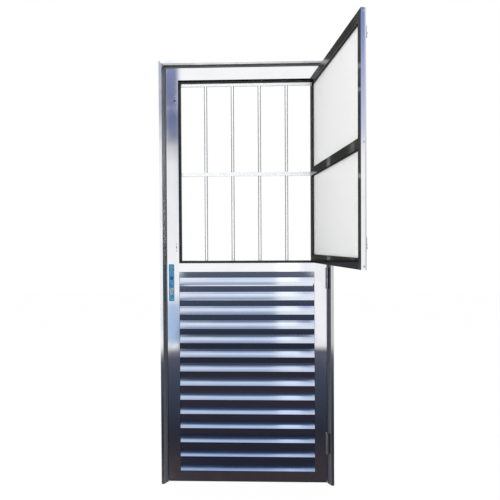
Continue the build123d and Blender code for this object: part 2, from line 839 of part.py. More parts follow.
def sash_profiles():
    """Stiles and rails of the sash, with the screws that tie them."""
    rail_half = sash_width / 2 - sash_stile_face
    for (name, (edge, way, grooves)), port_height in zip(sash_rails.items(), sash_rail_ports()):
        drawn = sash_section(sash_rail_face, grooves)
        section = Pos(sash_room, edge) * (Rot(0, 0, 90) * (mirror(drawn, about=Plane.XZ)))
        if way < 0:
            section = Pos(0, 2 * edge) * mirror(section, about=Plane.XZ)
        section += rect(sash_room, glass_middle, port_height - sash_wall / 2, port_height + sash_wall / 2)
        port = Pos(glass_middle, port_height)
        section = section + port * Circle(sash_port_radius) - port * Circle(screw_radius + hole_fit)
        save(name, opened(across(section, -rail_half, rail_half)))
    screws = []
    for side, name in ((-1, "sash_stile_free"), (1, "sash_stile_hinge")):
        drawn = sash_section(sash_stile_face, 1)
        if side < 0:
            drawn = fillet(drawn.vertices().sort_by_distance((0, 0))[0], sash_nose_radius)
            inner_corner = drawn.vertices().sort_by_distance((sash_wall, sash_wall))[0]
            drawn = fillet(inner_corner, sash_nose_radius - sash_wall)
        section = Pos(-sash_width / 2, sash_room) * drawn
        if side > 0:
            section = mirror(section, about=Plane.YZ)
        stile = upright(section, sash_low, sash_high)
        edge = side * sash_width / 2
        head_end = edge - side * sash_wall
        inner = side * rail_half
        for height in sash_rail_ports():
            head_seat = sash_screw_head_radius + hole_fit
            stile -= rod_x(head_seat, edge + side * overrun, head_end, glass_middle, height)
            stile -= rod_x(screw_radius + hole_fit, edge, inner - side * overrun, glass_middle, height)
            screw = rod_x(screw_radius, edge, inner - side * screw_reach, glass_middle, height)
            screw += rod_x(sash_screw_head_radius, edge, head_end, glass_middle, height)
            screws.append(opened(screw))
        save(name, opened(stile))
    save("sash_screws", *screws)


def sash_glazing():
    """Two panes in the grooves, and the black strips that hold them on both faces."""
    pane_half = sash_width / 2 - sash_stile_face + glass_groove_depth - glass_edge_gap
    bite = glass_groove_depth - glass_edge_gap
    lights = {
        "sash_pane_upper": (sash_mid_low + sash_rail_face, sash_high - sash_rail_face),
        "sash_pane_lower": (sash_low + sash_rail_face, sash_mid_low),
    }
    strip = (glass_groove_width - glass_thickness) / 2
    strips = []
    for name, (low, high) in lights.items():
        front = glass_middle - glass_thickness / 2
        back = glass_middle + glass_thickness / 2
        save(name, opened(block(-pane_half, pane_half, front, back, low - bite, high + bite)))
        light_w = sash_width - 2 * sash_stile_face
        light_h = high - low
        outer = Rectangle(light_w + 2 * pane_gasket_hold, light_h + 2 * pane_gasket_hold)
        inner = Rectangle(light_w - 2 * pane_gasket_lip, light_h - 2 * pane_gasket_lip)
        ring = Pos(0, (low + high) / 2) * (outer - inner)
        strips.append(opened(deep(ring, front - strip, front)))
        strips.append(opened(deep(ring, back, back + strip)))
    save("sash_gaskets", *strips)


def sash_hinges():
    """Three small butt hinges: one plate on the leaf's face, the other on the sash's edge."""
    sizes = (sash_barrel_radius, sash_pin_radius, sash_hinge_length, sash_hinge_knuckles)
    plate_low = sash_barrel_radius + contact_gap - sash_hinge_plate
    heights = [sash_low + sash_hinge_inset, (sash_low + sash_high) / 2, sash_high - sash_hinge_inset]
    places = [Pos(sash_axis_x, sash_axis_y, height) for height in heights]
    leaf_half = hinge_half(0, *sizes, plate_low, sash_hinge_plate, sash_plate_width)
    sash_half = Rot(0, 0, 90) * hinge_half(1, *sizes, plate_low, sash_hinge_plate, sash_plate_width)
    pin = hinge_pin(sash_barrel_radius, sash_pin_radius, sash_hinge_length, sash_cap_height)
    save("sash_hinge_leaf_plates", *[place * leaf_half for place in places])
    save("sash_hinge_sash_plates", *[opened(place * sash_half) for place in places])
    save("sash_hinge_pins", *[place * pin for place in places])


def catches():
    """Two turning catches on the free stile's room face, and the hooked keepers on the lock stile."""
    pivot_x = sash_stile_face / 2 - sash_width / 2
    base_front = sash_room - catch_base_thickness
    lever_back = base_front - hole_fit
    lever_front = lever_back - catch_lever_thickness
    cap_back = lever_front - hole_fit
    hook_back = lever_front - contact_gap
    hook_front = hook_back - keeper_plate
    keeper_left = lock_x + lock_plate_width / 2 + keeper_plate_gap
    post_right = keeper_left + keeper_plate
    half = catch_lever_width / 2
    reach = pivot_x - half - post_right - bolt_clearance
    bases = []
    keepers = []
    for name, height in (("upper", sash_high - catch_top_inset), ("lower", sash_low + catch_bottom_inset)):
        spot = Pos(pivot_x, height)
        oval = RectangleRounded(catch_base_width, catch_base_height, catch_base_width / 2 - contact_gap)
        base = deep(spot * oval, base_front, sash_room)
        base += rod_y(catch_stud_radius, cap_back, base_front, pivot_x, height)
        base += rod_y(half, cap_back - catch_stud_cap, cap_back, pivot_x, height)
        bases.append(opened(base))
        shape = rect(-half, half, 0, reach) + Circle(half) + Pos(0, reach) * Circle(half)
        shape -= Circle(catch_stud_radius + running_fit)
        lever = deep(spot * shape, lever_front, lever_back)
        tab = spot * rect(-half, half, catch_lever_width, catch_lever_width + catch_tab_height)
        lever += deep(tab, lever_front - catch_tab_height, lever_front)
        save(f"catch_lever_{name}", opened(lever))
        oval = RectangleRounded(keeper_width, keeper_height, keeper_width / 2 - contact_gap)
        plate = Pos(keeper_left + keeper_width / 2, height) * oval
        keeper = deep(plate, leaf_front - keeper_plate, leaf_front)
        low = height - keeper_hook_height / 2
        high = height + keeper_hook_height / 2
        keeper += block(keeper_left, post_right, hook_front, leaf_front, low, high)
        keeper += block(post_right, post_right + keeper_hook_cover, hook_front, hook_back, low, high)
        keepers.append(keeper)
    save("catch_bases", *bases)
    save("catch_keepers", *keepers)


os.makedirs("parts", exist_ok=True)
frame()
main_hinges()
stiles()
rails()
planks()
grille()
lock()
sash_profiles()
sash_glazing()
sash_hinges()
catches()
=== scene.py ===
"""Looks for the polished aluminium front door: finishes, small fittings, stage, light and camera."""
import logging
import math
from collections.abc import Iterable
from dataclasses import dataclass, field, replace
from enum import Enum
from functools import cache

import bmesh
import bpy
from mathutils import Matrix, Vector


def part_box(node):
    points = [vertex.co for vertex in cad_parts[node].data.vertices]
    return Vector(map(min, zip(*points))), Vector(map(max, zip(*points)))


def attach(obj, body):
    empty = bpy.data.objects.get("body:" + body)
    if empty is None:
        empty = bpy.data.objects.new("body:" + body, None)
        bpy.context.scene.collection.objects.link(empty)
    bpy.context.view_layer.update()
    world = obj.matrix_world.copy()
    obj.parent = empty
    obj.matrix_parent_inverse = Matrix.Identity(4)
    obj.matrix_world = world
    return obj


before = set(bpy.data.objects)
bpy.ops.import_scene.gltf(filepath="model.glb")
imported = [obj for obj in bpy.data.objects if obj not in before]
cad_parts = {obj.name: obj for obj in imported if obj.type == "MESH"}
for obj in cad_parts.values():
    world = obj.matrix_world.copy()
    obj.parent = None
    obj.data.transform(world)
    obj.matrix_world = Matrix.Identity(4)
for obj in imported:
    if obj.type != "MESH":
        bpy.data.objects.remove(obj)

LOG = logging.getLogger("front_door")
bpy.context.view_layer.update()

Colour = tuple[float, float, float]
Point = tuple[float, float, float]
Pair = tuple[float, float]
Names = tuple[str, ...]
Socket = bpy.types.NodeSocket
Sockets = bpy.types.bpy_prop_collection

MIX_FIRST, MIX_SECOND, MIX_RESULT = 6, 7, 2
NOISE = "ShaderNodeTexNoise"
VORONOI = "ShaderNodeTexVoronoi"
WHITE = (1.0, 1.0, 1.0, 1.0)


class Grain(Enum):
    """Way that an extrusion's die lines run, as stretches of the surface noise along X, Y and Z."""

    UPRIGHT = (900.0, 900.0, 1.6)
    LEVEL = (1.6, 900.0, 900.0)
    SASH_LEVEL = (140.0, 1.6, 900.0)


class Body(Enum):
    """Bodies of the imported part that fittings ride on."""

    LEAF = "leaf"
    SASH = "sash"


class Mask(Enum):
    """Pattern that says where a small part's second tone or roughness lies."""

    GRAIN = "grain"
    MARKS = "marks"


class Graph:
    """Thin helper around one node tree."""

    def __init__(self, tree: bpy.types.NodeTree) -> None:
        """Keeps the tree that nodes are added to."""
        self.tree = tree

    def node(self, kind: str, **settings: object) -> bpy.types.Node:
        """Adds a node.

        Args:
            kind: Blender's node type.
            settings: Node attributes, or input values by socket name with spaces as underscores.

        Returns:
            The new node.
        """
        made = self.tree.nodes.new(kind)
        for key, value in settings.items():
            socket = made.inputs.get(key.replace("_", " "))
            if socket is not None and not hasattr(made, key):
                socket.default_value = value
            else:
                setattr(made, key, value)
        return made

    def link(self, source: Socket, target: Socket) -> None:
        """Joins two sockets."""
        self.tree.links.new(source, target)

    def feed(self, target: Socket, value: object) -> None:
        """Links a socket to an input, or sets the input to a plain value.

        Args:
            target: The input.
            value: Socket or plain value.
        """
        if isinstance(value, Socket):
            self.link(value, target)
        else:
            target.default_value = value

    def math(self, operation: str, *operands: object) -> Socket:
        """Adds a math node.

        Args:
            operation: Blender's operation name.
            operands: Sockets or numbers, up to three.

        Returns:
            The result socket.
        """
        made = self.node("ShaderNodeMath", operation=operation)
        for slot, value in zip(made.inputs, operands):
            self.feed(slot, value)
        return made.outputs[0]

    def axes(self, source: Socket) -> Sockets:
        """Splits a vector.

        Args:
            source: Vector socket.

        Returns:
            Its X, Y and Z sockets by name.
        """
        made = self.node("ShaderNodeSeparateXYZ")
        self.link(source, made.inputs[0])
        return made.outputs

    def normal(self) -> Socket:
        """Gives the surface normal in the piece's own axes."""
        return self.node("ShaderNodeTexCoord").outputs["Normal"]

    def along(self, source: Socket, way: Point) -> Socket:
        """Measures how far a vector points along a direction.

        Args:
            source: Vector socket.
            way: The direction.

        Returns:
            The dot product's socket.
        """
        made = self.node("ShaderNodeVectorMath", operation="DOT_PRODUCT")
        made.inputs[1].default_value = way
        self.link(source, made.inputs[0])
        return made.outputs["Value"]

    def texture(self, kind: str, vector: Socket, scale: object, **settings: object) -> Sockets:
        """Adds a texture.

        Args:
            kind: Blender's node type.
            vector: Coordinates for it.
            scale: Its scale, as a socket or a number.
            settings: Its other settings.

        Returns:
            Its output sockets.
        """
        made = self.node(kind, **settings)
        self.link(vector, made.inputs["Vector"])
        self.feed(made.inputs["Scale"], scale)
        return made.outputs

    def ramp(self, source: Socket, stops: Iterable[tuple[float, Colour]]) -> Socket:
        """Adds a colour ramp.

        Args:
            source: Socket that drives it.
            stops: Places from 0 to 1 with their colours.

        Returns:
            The colour socket.
        """
        made = self.node("ShaderNodeValToRGB")
        elements = made.color_ramp.elements
        places = list(stops)
        while len(elements) < len(places):
            elements.new(1.0)
        for element, (place, colour) in zip(elements, places):
            element.position = place
            element.color = (*colour, 1.0)
        self.link(source, made.inputs["Fac"])
        return made.outputs["Color"]

    def blend(self, share: Socket, first: Socket, second: Socket | Colour) -> Socket:
        """Blends a colour socket with another colour.

        Args:
            share: Share of the second colour.
            first: Colour socket.
            second: Colour socket or plain colour.

        Returns:
            The blended colour socket.
        """
        made = self.node("ShaderNodeMix", data_type="RGBA")
        self.link(share, made.inputs["Factor"])
        self.link(first, made.inputs[MIX_FIRST])
        self.feed(made.inputs[MIX_SECOND], second if isinstance(second, Socket) else (*second, 1.0))
        return made.outputs[MIX_RESULT]

    def span(self, source: Socket, low: float, high: float, start: float = 0.0, end: float = 1.0) -> Socket:
        """Maps a value from one range to another.

        Args:
            source: Socket to map.
            low: Result at start.
            high: Result at end.
            start: Lowest source value.
            end: Highest source value.

        Returns:
            The mapped socket.
        """
        made = self.node("ShaderNodeMapRange", From_Min=start, From_Max=end, To_Min=low, To_Max=high)
        self.link(source, made.inputs["Value"])
        return made.outputs["Result"]


class Effects:
    """Shader groups that several finishes share, each built once."""

    PATCH_RANGE: Pair = (0.3, 0.7)
    FINE_LINES, BROAD_LINES, BROAD_SHARE = 1.0, 0.07, 0.6
    WIPE_RANGE: Pair = (0.42, 0.72)
    PRINT_RANGE: Pair = (0.05, 0.45)
    PRINT_SHARE, PRINTS_PER_WIPE = 0.5, 2.3
    DUST_SCALE, PATCH_SCALE = 28.0, 0.06

    @staticmethod
    def start(name: str, inputs: Names, outputs: Names) -> tuple[Graph, Sockets, Sockets]:
        """Opens a new group, whose sockets are numbers but for its Vector.

        Args:
            name: Group name.
            inputs: Input names.
            outputs: Output names.

        Returns:
            The graph, and the group's input and output sockets by name.
        """
        tree = bpy.data.node_groups.new(name, "ShaderNodeTree")
        for side, labels in (("INPUT", inputs), ("OUTPUT", outputs)):
            for label in labels:
                kind = "NodeSocketVector" if label == "Vector" else "NodeSocketFloat"
                tree.interface.new_socket(name=label, in_out=side, socket_type=kind)
        graph = Graph(tree)
        return graph, graph.node("NodeGroupInput").outputs, graph.node("NodeGroupOutput").inputs

    @staticmethod
    @cache
    def die_lines() -> bpy.types.NodeTree:
        """Builds the fine lines that the die leaves along an extrusion.

        Returns:
            The group, which takes coordinates already stretched along the lines.
        """
        graph, entry, leave = Effects.start("Die Lines", ("Vector",), ("Height", "Sheen"))
        fine = graph.texture(NOISE, entry["Vector"], Effects.FINE_LINES, Detail=4.0, Roughness=0.65)
        broad = graph.texture(NOISE, entry["Vector"], Effects.BROAD_LINES, Detail=2.0, Roughness=0.5)
        height = graph.math("MULTIPLY_ADD", broad["Fac"], Effects.BROAD_SHARE, fine["Fac"])
        graph.link(height, leave["Height"])
        graph.link(graph.span(broad["Fac"], 0.0, 1.0, *Effects.PATCH_RANGE), leave["Sheen"])
        return graph.tree

    @staticmethod
    @cache
    def handling() -> bpy.types.NodeTree:
        """Builds the wipe marks and finger smudges on a polished face.

        Returns:
            The group, which takes coordinates and a scale.
        """
        graph, entry, leave = Effects.start("Handling Marks", ("Vector", "Scale"), ("Mask",))
        clouds = graph.texture(
            NOISE, entry["Vector"], entry["Scale"], Detail=5.0, Roughness=0.6, Distortion=0.7
        )
        closer = graph.math("MULTIPLY", entry["Scale"], Effects.PRINTS_PER_WIPE)
        prints = graph.texture(VORONOI, entry["Vector"], closer, feature="SMOOTH_F1")
        spots = graph.span(prints["Distance"], Effects.PRINT_SHARE, 0.0, *Effects.PRINT_RANGE)
        wipes = graph.span(clouds["Fac"], 0.0, 1.0, *Effects.WIPE_RANGE)
        total = graph.math("MULTIPLY_ADD", spots, wipes, wipes)
        total.node.use_clamp = True
        graph.link(total, leave["Mask"])
        return graph.tree

    @staticmethod
    @cache
    def floor_dust() -> bpy.types.NodeTree:
        """Builds the thin dust that gathers near the floor.

        Returns:
            The group, which takes coordinates in metres and the height that the dust reaches.
        """
        graph, entry, leave = Effects.start("Floor Dust", ("Vector", "Reach"), ("Mask",))
        grey = graph.texture(NOISE, entry["Vector"], Effects.DUST_SCALE, Detail=6.0, Roughness=0.7)
        ratio = graph.math("DIVIDE", graph.axes(entry["Vector"])["Z"], entry["Reach"])
        graph.link(graph.math("MULTIPLY", graph.span(ratio, 1.0, 0.0), grey["Fac"]), leave["Mask"])
        return graph.tree

    @staticmethod
    @cache
    def grit() -> bpy.types.NodeTree:
        """Builds the fine even grain of cast metal, plating and rubber.

        Returns:
            The group, which takes coordinates and a scale.
        """
        graph, entry, leave = Effects.start("Fine Grit", ("Vector", "Scale"), ("Height", "Mask"))
        wider = graph.math("MULTIPLY", entry["Scale"], Effects.PATCH_SCALE)
        fine = graph.texture(NOISE, entry["Vector"], entry["Scale"], Detail=5.0, Roughness=0.7)
        patch = graph.texture(NOISE, entry["Vector"], wider, Detail=3.0, Roughness=0.5)
        graph.link(fine["Fac"], leave["Height"])
        graph.link(graph.span(patch["Fac"], 0.0, 1.0, *Effects.PATCH_RANGE), leave["Mask"])
        return graph.tree


@dataclass
class Coat:
    """One material while it is linked up: tree, shader inputs, place in metres, colour and roughness."""

    graph: Graph
    shader: Sockets
    place: Socket
    tone: Socket | None = None
    dull: Socket | None = None

    def effect(self, tree: bpy.types.NodeTree, place: Socket | None = None, **values: float) -> Sockets:
        """Places a shared effect.

        Args:
            tree: The effect's group.
            place: Coordinates for it, if not the piece's own.
            values: Its other inputs.

        Returns:
            The effect's output sockets.
        """
        made = self.graph.node("ShaderNodeGroup", node_tree=tree)
        self.graph.link(self.place if place is None else place, made.inputs["Vector"])
        for key, value in values.items():
            made.inputs[key].default_value = value
        return made.outputs

    def emboss(self, height: Socket, relief: Pair) -> None:
        """Puts a height on the shader's normal.

        Args:
            height: The height socket.
            relief: Share of the full effect, and depth in metres.
        """
        strength, distance = relief
        bump = self.graph.node("ShaderNodeBump", Strength=strength, Distance=distance)
        self.graph.link(height, bump.inputs["Height"])
        self.graph.link(bump.outputs["Normal"], self.shader["Normal"])

    def roughen(self, share: Socket, amount: float) -> None:
        """Adds to the roughness where a mask says so."""
        self.dull = self.graph.math("MULTIPLY_ADD", share, amount, self.dull)

    def tint(self, share: Socket, colour: Colour) -> None:
        """Turns the colour to another where a mask says so."""
        self.tone = self.graph.blend(share, self.tone, colour)

    def close(self) -> None:
        """Links colour and roughness to the shader."""
        self.graph.link(self.tone, self.shader["Base Color"])
        self.graph.link(self.dull, self.shader["Roughness"])


def bare_graph(holder: bpy.types.Material | bpy.types.World) -> Graph:
    """Empties the node tree of a material or world.

    Args:
        holder: The material or world.

    Returns:
        Its graph, without nodes.
    """
    holder.use_nodes = True
    holder.node_tree.nodes.clear()
    return Graph(holder.node_tree)


@dataclass(frozen=True)
class Finish:
    """Base of every finish: its name, and the shader that all of them end in."""

    name: str

    def material(self) -> bpy.types.Material:
        """Makes the finish's material on the first call.

        Returns:
            The material.
        """
        found = bpy.data.materials.get(self.name)
        if found is not None:
            return found
        made = bpy.data.materials.new(self.name)
        graph = bare_graph(made)
        shader = graph.node("ShaderNodeBsdfPrincipled")
        output = graph.node("ShaderNodeOutputMaterial")
        graph.link(shader.outputs["BSDF"], output.inputs["Surface"])
        coat = Coat(graph, shader.inputs, graph.node("ShaderNodeTexCoord").outputs["Object"])
        self.paint(coat)
        coat.close()
        return made

    def paint(self, coat: Coat) -> None:
        """Gives the coat its colour, roughness and relief; each finish has its own way."""
        raise NotImplementedError


@dataclass(frozen=True)
class PolishedAluminium(Finish):
    """Mirror-polished extrusion with die lines, smudges and some dust near the floor."""

    grain: Grain
    clean: Colour = (0.91, 0.915, 0.93)
    handled: Colour = (0.85, 0.86, 0.885)
    gloss: Pair = (0.03, 0.09)
    relief: Pair = (0.35, 0.00002)
    sheen: float = 0.35
    marks_scale: float = 5.0
    dust_reach: float = 0.3
    dust_dull: float = 0.16
    dusty: Colour = (0.70, 0.72, 0.76)
    metal: float = 1.0

    def paint(self, coat: Coat) -> None:
        """Gives lines to the normal, smudges to roughness and colour, dust to both.

        Args:
            coat: The material.
        """
        graph = coat.graph
        stretch = graph.node("ShaderNodeVectorMath", operation="MULTIPLY")
        stretch.inputs[1].default_value = self.grain.value
        graph.link(coat.place, stretch.inputs[0])
        lines = coat.effect(Effects.die_lines(), stretch.outputs["Vector"])
        marks = coat.effect(Effects.handling(), Scale=self.marks_scale)["Mask"]
        dust = coat.effect(Effects.floor_dust(), Reach=self.dust_reach)["Mask"]
        shade = graph.math("MULTIPLY_ADD", lines["Sheen"], self.sheen, marks)
        coat.tone = graph.ramp(shade, [(0.0, self.clean), (1.0, self.handled)])
        coat.dull = graph.span(marks, *self.gloss)
        coat.tint(dust, self.dusty)
        coat.roughen(dust, self.dust_dull)
        coat.shader["Metallic"].default_value = self.metal
        self.weather(coat)
        coat.emboss(lines["Height"], self.relief)

    def weather(self, coat: Coat) -> None:
        """Leaves the polished coat as it is; a special extrusion changes it."""


@dataclass(frozen=True)
class JambAluminium(PolishedAluminium):
    """Frame extrusion: polished front lip, and a reveal behind it left dull and darkened with painted shade.
    """

    lip_depth: float = 0.0006
    lip_blur: float = 0.0006
    painted_reveal_shade: Colour = (0.30, 0.31, 0.335)
    reveal_dull: float = 0.30
    lip_metal: float = 1.0

    def weather(self, coat: Coat) -> None:
        """Dulls what lies behind the lip and darkens it with painted shade.

        Args:
            coat: The material.
        """
        graph = coat.graph
        depth = graph.axes(coat.place)["Y"]
        behind = graph.span(depth, 0.0, 1.0, self.lip_depth, self.lip_depth + self.lip_blur)
        if self.lip_metal < 1.0:
            graph.link(graph.span(behind, self.lip_metal, 1.0), coat.shader["Metallic"])
        coat.roughen(behind, self.reveal_dull)
        # painted shade: the reveal's darker colour stands for the shade in the recess behind the lip
        coat.tint(behind, self.painted_reveal_shade)


@dataclass(frozen=True)
class PlankAluminium(PolishedAluminium):
    """Plank extrusion: its room face carries a painted blue reflection, stronger from plank to plank towards
    the floor.
    """

    painted_reflection_tint: Colour = (0.34, 0.45, 0.68)
    top: float = 1.06
    room_side: Pair = (-0.30, -0.05)

    def weather(self, coat: Coat) -> None:
        """Paints a blue reflection on the room face, stronger towards the floor.

        Args:
            coat: The material.
        """
        graph = coat.graph
        low = graph.span(graph.axes(coat.place)["Z"], 1.0, 0.0, 0.0, self.top)
        front = graph.span(graph.axes(graph.normal())["Y"], 1.0, 0.0, *self.room_side)
        # painted reflection: blue tint on the room face, growing towards the floor
        coat.tint(graph.math("MULTIPLY", low, front), self.painted_reflection_tint)


@dataclass(frozen=True)
class BarAluminium(PolishedAluminium):
    """Grille bar: pale faces, and a painted dark reflection along each rounded shoulder."""

    painted_shoulder_reflection: Colour = (0.04, 0.04, 0.044)
    starts: Pair = (0.02, 0.28)
    ends: Pair = (0.76, 0.92)

    def weather(self, coat: Coat) -> None:
        """Paints a dark reflection along the shoulders.

        Args:
            coat: The material.
        """
        graph = coat.graph
        across = graph.axes(graph.normal())["X" if self.grain is Grain.UPRIGHT else "Z"]
        aside = graph.math("ABSOLUTE", across)
        begun = graph.span(aside, 0.0, 1.0, *self.starts)
        # painted reflection: a dark band along each rounded shoulder, where the bar would mirror dark
        # surroundings
        coat.tint(graph.math("MULTIPLY", begun, graph.span(aside, 1.0, 0.0, *self.ends)), self.painted_shoulder_reflection)


@dataclass(frozen=True)
class SashAluminium(PolishedAluminium):
    """Sash extrusion: polished edge, a painted dark reflection on the street face, and painted shade on the
    lips towards the pane.
    """

    street: Point = (-0.988, -0.156, 0.0)
    inward: Point = (0.0, 0.0, 0.0)
    painted_street_reflection: Colour = (0.23, 0.232, 0.226)
    street_dull: float = 0.0
    painted_lip_shade: Colour = (0.05, 0.05, 0.05)
    edge_keeps: Pair = (0.55, 0.75)

    def weather(self, coat: Coat) -> None:
        """Paints a dark reflection on the street face and shade on the lips.

        Args:
            coat: The material.
        """
        graph = coat.graph
        normal = graph.normal()
        outward = graph.span(graph.along(normal, self.street), 0.0, 1.0, *self.edge_keeps)
        level = graph.math("ABSOLUTE", graph.axes(normal)["Z"])
        lips = graph.math("MAXIMUM", level, graph.along(normal, self.inward))
        coat.roughen(outward, self.street_dull)
        # painted reflection: the street face darkened to stand for the dark surroundings it would mirror
        coat.tint(outward, self.painted_street_reflection)
        # painted shade: the lips towards the pane darkened
        coat.tint(graph.span(lips, 0.0, 1.0, *self.edge_keeps), self.painted_lip_shade)


@dataclass(frozen=True)
class GrainedFinish(Finish):
    """Finish of small parts: fine grain in the normal, and two tones and roughnesses in patches."""

    tone: Colour
    worn: Colour
    gloss: Pair
    grain_scale: float
    relief: Pair
    metal: float = 1.0
    marks_scale: float = 1.0
    tone_by: Mask = Mask.GRAIN
    gloss_by: Mask = Mask.GRAIN

    def paint(self, coat: Coat) -> None:
        """Gives patches of grain or of handling marks to colour and roughness, grain to the normal.

        Args:
            coat: The material.
        """
        grain = coat.effect(Effects.grit(), Scale=self.grain_scale)
        masks = {Mask.GRAIN: grain["Mask"]}
        if Mask.MARKS in (self.tone_by, self.gloss_by):
            masks[Mask.MARKS] = coat.effect(Effects.handling(), Scale=self.marks_scale)["Mask"]
        coat.tone = coat.graph.ramp(masks[self.tone_by], [(0.0, self.tone), (1.0, self.worn)])
        coat.dull = coat.graph.span(masks[self.gloss_by], *self.gloss)
        coat.shader["Metallic"].default_value = self.metal
        coat.emboss(grain["Height"], self.relief)


@dataclass(frozen=True)
class DimpledGlass(Finish):
    """Rolled translucent glass with small dimples."""

    tone: Colour = (0.99, 0.99, 0.985)
    thick: Colour = (0.972, 0.974, 0.97)
    gloss: Pair = (0.34, 0.46)
    cloud_scale: float = 60.0
    dimple_scale: float = 150.0
    relief: Pair = (0.18, 0.001)
    clear: float = 0.45
    glint: float = 0.15
    index: float = 1.48

    def paint(self, coat: Coat) -> None:
        """Gives dimples to the normal, cloudiness to colour and roughness.

        Args:
            coat: The material.
        """
        dimples = coat.graph.texture(VORONOI, coat.place, self.dimple_scale, feature="SMOOTH_F1")
        clouds = coat.effect(Effects.grit(), Scale=self.cloud_scale)["Mask"]
        coat.tone = coat.graph.ramp(clouds, [(0.0, self.tone), (1.0, self.thick)])
        coat.dull = coat.graph.span(clouds, *self.gloss)
        coat.shader["Transmission Weight"].default_value = self.clear
        coat.shader["Specular IOR Level"].default_value = self.glint
        coat.shader["IOR"].default_value = self.index
        coat.emboss(dimples["Distance"], self.relief)


@dataclass(frozen=True)
class ProtectiveFilm(Finish):
    """Blue peel-off film with wrinkles and lifted spots."""

    creased: Colour = (0.008, 0.048, 0.190)
    tight: Colour = (0.018, 0.160, 0.320)
    lifted: Colour = (0.045, 0.240, 0.400)
    places: tuple[float, float, float, float] = (0.0, 0.45, 0.75, 0.95)
    gloss: Pair = (0.16, 0.36)
    marks_scale: float = 26.0
    fold_scale: float = 70.0
    relief: Pair = (0.6, 0.004)
    sheen: float = 0.2
    sheen_dull: float = 0.08

    def paint(self, coat: Coat) -> None:
        """Gives wrinkles to the normal, lifted spots to colour and roughness.

        Args:
            coat: The material.
        """
        marks = coat.effect(Effects.handling(), Scale=self.marks_scale)["Mask"]
        folds = coat.graph.texture(
            NOISE, coat.place, self.fold_scale, Detail=4.0, Roughness=0.55, Distortion=1.6
        )
        colours = (self.tight, self.lifted, self.tight, self.creased)
        coat.tone = coat.graph.ramp(marks, zip(self.places, colours))
        coat.dull = coat.graph.span(marks, *self.gloss)
        coat.shader["Coat Weight"].default_value = self.sheen
        coat.shader["Coat Roughness"].default_value = self.sheen_dull
        coat.emboss(folds["Fac"], self.relief)


UPRIGHT_POLISH = PolishedAluminium("polished_upright", Grain.UPRIGHT)
LEVEL_POLISH = PolishedAluminium("polished_level", Grain.LEVEL)
RAIL_POLISH = PolishedAluminium(
    "brushed_rail", Grain.LEVEL, clean=(0.96, 0.965, 0.97), handled=(0.93, 0.935, 0.945), gloss=(0.04, 0.09)
)
PLANK_POLISH = PlankAluminium(
    "polished_plank", Grain.LEVEL, clean=(0.84, 0.88, 0.94), handled=(0.77, 0.82, 0.90), gloss=(0.06, 0.11)
)
SASH_LEVEL_POLISH = SashAluminium("sash_level", Grain.SASH_LEVEL, gloss=(0.06, 0.12))
SASH_TOP_POLISH = replace(SASH_LEVEL_POLISH, name="sash_top", street_dull=0.06)
SASH_FREE_POLISH = SashAluminium(
    "sash_free", Grain.UPRIGHT, gloss=(0.05, 0.10), street_dull=0.06, inward=(-0.156, 0.988, 0.0)
)
SASH_HINGE_POLISH = replace(SASH_FREE_POLISH, name="sash_hinge", inward=(0.156, -0.988, 0.0))
BAR_SATIN = BarAluminium(
    "satin_bar", Grain.UPRIGHT, clean=(0.97, 0.97, 0.975), handled=(0.95, 0.955, 0.96), gloss=(0.18, 0.26),
    metal=0.4
)
CROSS_SATIN = BarAluminium(
    "satin_cross_bar", Grain.LEVEL, clean=(0.97, 0.97, 0.975), handled=(0.94, 0.945, 0.95),
    gloss=(0.26, 0.34), metal=0.4
)
JAMB_SATIN = JambAluminium(
    "jamb_upright", Grain.UPRIGHT, clean=(0.93, 0.935, 0.94), handled=(0.88, 0.885, 0.895),
    gloss=(0.05, 0.10)
)
HEAD_SATIN = JambAluminium(
    "head_level", Grain.LEVEL, clean=(0.93, 0.935, 0.95), handled=(0.89, 0.895, 0.91), gloss=(0.05, 0.10),
    lip_depth=0.0095, lip_metal=0.3
)
CAST = GrainedFinish(
    "cast_satin", tone=(0.62, 0.64, 0.67), worn=(0.74, 0.76, 0.79), gloss=(0.42, 0.26), grain_scale=900.0,
    relief=(0.3, 0.0002)
)
GREY_CAST = replace(CAST, name="grey_cast", tone=(0.26, 0.27, 0.29), worn=(0.40, 0.41, 0.43))
STEEL = GrainedFinish(
    "plated_steel", tone=(0.52, 0.54, 0.57), worn=(0.60, 0.58, 0.53), gloss=(0.2, 0.38), grain_scale=600.0,
    relief=(0.15, 0.0001), marks_scale=40.0, gloss_by=Mask.MARKS
)
BLACKED = replace(STEEL, name="blacked_steel", tone=(0.045, 0.048, 0.055), worn=(0.070, 0.066, 0.062))
NICKEL = GrainedFinish(
    "nickel_washed_brass", tone=(0.36, 0.46, 0.55), worn=(0.50, 0.55, 0.58), gloss=(0.24, 0.36),
    grain_scale=1500.0, relief=(0.1, 0.0001), marks_scale=120.0, tone_by=Mask.MARKS
)
RUBBER = GrainedFinish(
    "seal_rubber", tone=(0.020, 0.020, 0.021), worn=(0.046, 0.046, 0.048), gloss=(0.55, 0.75),
    grain_scale=700.0, relief=(0.25, 0.0003), metal=0.0
)
GLASS = DimpledGlass("dimpled_glass")
FILM = ProtectiveFilm("peel_off_film")
# Darker copy of the film over the spindle hole: painted shade of the hole beneath it.
HOLE_SHADE_FILM = ProtectiveFilm(
    "film_over_hole_painted_shade", creased=(0.006, 0.020, 0.090), tight=(0.010, 0.045, 0.170),
    lifted=(0.022, 0.080, 0.240)
)


def dress(finish: Finish, *nodes: str) -> None:
    """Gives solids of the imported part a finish.

    Args:
        finish: The finish.
        nodes: Names of the solids' nodes.
    """
    for name in nodes:
        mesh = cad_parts[name].data
        mesh.materials.clear()
        mesh.materials.append(finish.material())
        LOG.info("dressed %s in %s", name, finish.name)


